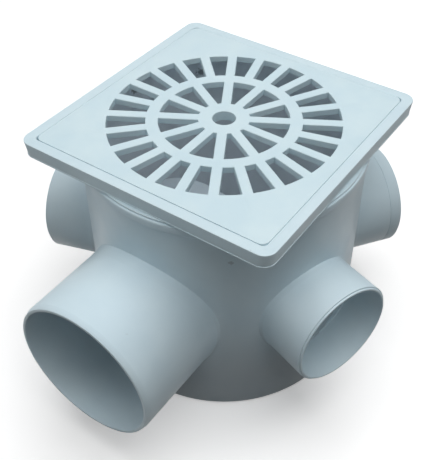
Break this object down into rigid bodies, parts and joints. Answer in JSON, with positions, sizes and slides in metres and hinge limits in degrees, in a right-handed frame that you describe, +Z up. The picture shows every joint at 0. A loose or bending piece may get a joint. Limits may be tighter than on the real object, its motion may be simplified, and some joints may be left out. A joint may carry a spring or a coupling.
{
  "type": "patio floor drain",
  "caption": "Round patio floor drain with a square slotted grate in a low frame, a large outlet stub and smaller inlet stubs around its side.",
  "frame": {"origin": "centre of the chamber's flat underside, on the chamber's vertical axis", "axes": "+Z up towards the grate, -Y along the outlet stub, +X to the right seen from the outlet"},
  "size_m": [0.281, 0.2983, 0.196],
  "materials": {
    "body_plastic": "satin pale blue-grey moulding",
    "frame_plastic": "satin pale blue-grey moulding",
    "grate_plastic": "satin pale blue-grey moulding",
    "hood_plastic": "satin pale blue-grey moulding"
  },
  "bodies": {
    "root": {"drain_body": "body_plastic", "grate_frame": "frame_plastic", "grate": "grate_plastic", "trap_hood": "hood_plastic"}
  },
  "joints": []
}
